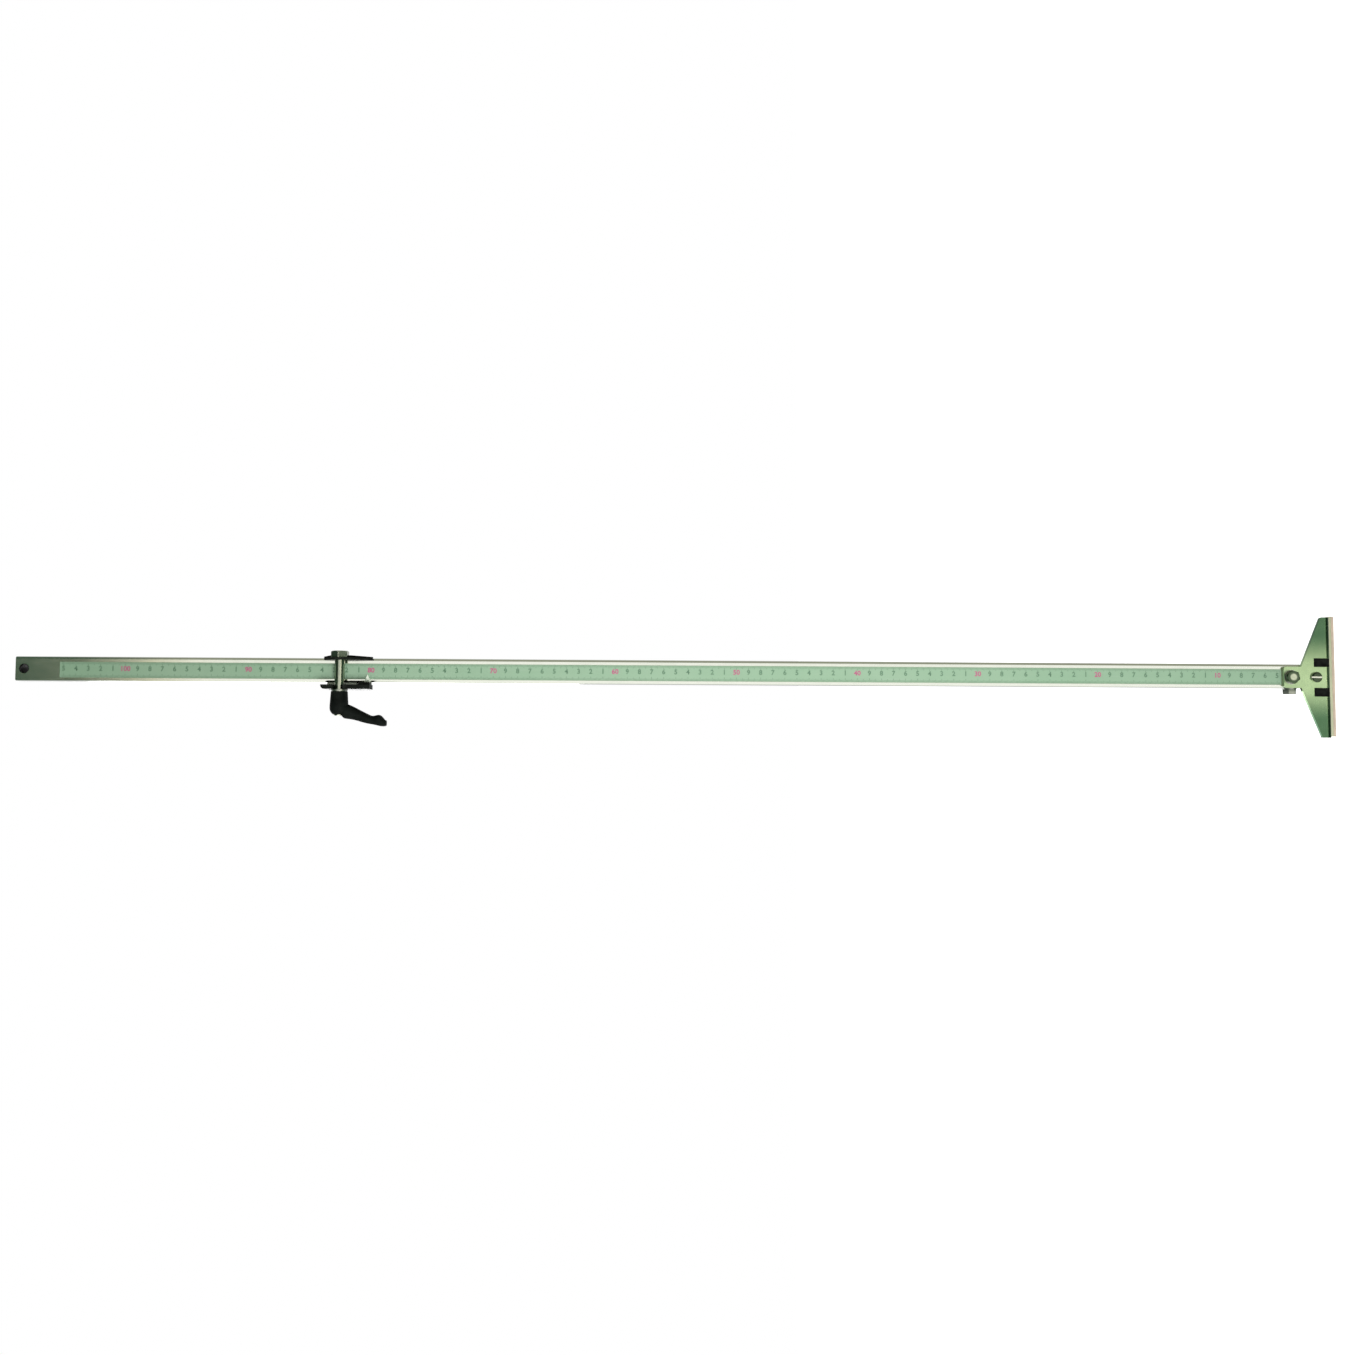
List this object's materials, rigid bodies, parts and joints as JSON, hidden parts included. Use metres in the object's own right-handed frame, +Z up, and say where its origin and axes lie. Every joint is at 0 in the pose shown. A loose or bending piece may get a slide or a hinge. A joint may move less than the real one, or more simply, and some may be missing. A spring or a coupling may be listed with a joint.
{
  "type": "leveling rod",
  "caption": "Steel rod with a metric scale, a bent sheet foot and a sliding cursor with a white pointer and a clamping lever.",
  "frame": {"origin": "on the rod's axis, at the underside of the sole, so that z is the scale's reading", "axes": "+Z up along the rod, +X across the rod towards the clamp bolt's head, -Y towards a reader of the scale"},
  "size_m": [0.101, 0.0318, 1.089],
  "materials": {
    "zinc_tube": "bright zinc, drawn",
    "tape_print": "satin lacquer",
    "black_plastic": "matte",
    "steel_block": "machined",
    "zinc_sheet": "zinc plated",
    "pale_bar": "satin",
    "beige_sole": "matte",
    "magnet_black": "matte black",
    "zinc_fastener": "zinc plated",
    "dark_fastener": "blackened",
    "clamp_black": "black, satin",
    "pad_nylon": "matte",
    "pointer_white": "satin",
    "lever_black": "fine texture"
  },
  "bodies": {
    "rod": {"rod_tube": "zinc_tube", "scale_tape": "tape_print", "end_plug": "black_plastic", "tube_insert": "steel_block", "foot_bracket": "zinc_sheet", "base_bar": "pale_bar", "sole_strip": "beige_sole", "base_screws": "zinc_fastener", "magnet_block": "magnet_black", "magnet_screw": "zinc_fastener", "magnet_nut": "zinc_fastener", "foot_bolt_front": "zinc_fastener", "front_washer": "zinc_fastener", "foot_bolt_side": "dark_fastener", "side_washer": "zinc_fastener"},
    "cursor": {"clamp_body": "clamp_black", "friction_pad": "pad_nylon", "clamp_bolt": "zinc_fastener", "pointer_block": "clamp_black", "pointer": "pointer_white", "pointer_screw": "dark_fastener", "thrust_washer": "dark_fastener"},
    "lever_nut": {"lever_insert": "steel_block", "lever_screw": "zinc_fastener", "lever_spring": "zinc_fastener"},
    "lever": {"lever_handle": "lever_black"}
  },
  "joints": [
    {"name": "cursor_slide", "type": "slide", "parent": "rod", "child": "cursor", "axis": [0, 0, 1], "range_m": [-0.7516, 0.249]},
    {"name": "lever_turn", "type": "hinge", "parent": "cursor", "child": "lever_nut", "pos_m": [-0.01684, -0.01317, 0.8243], "axis": [-1, 0, 0], "range_deg": [0, 180]},
    {"name": "lever_lift", "type": "slide", "parent": "lever_nut", "child": "lever", "axis": [-1, 0, 0], "range_m": [0, 0.0025], "stiffness_N_per_m": 1200, "springref_m": -0.002, "deforming": ["lever_spring"]}
  ]
}
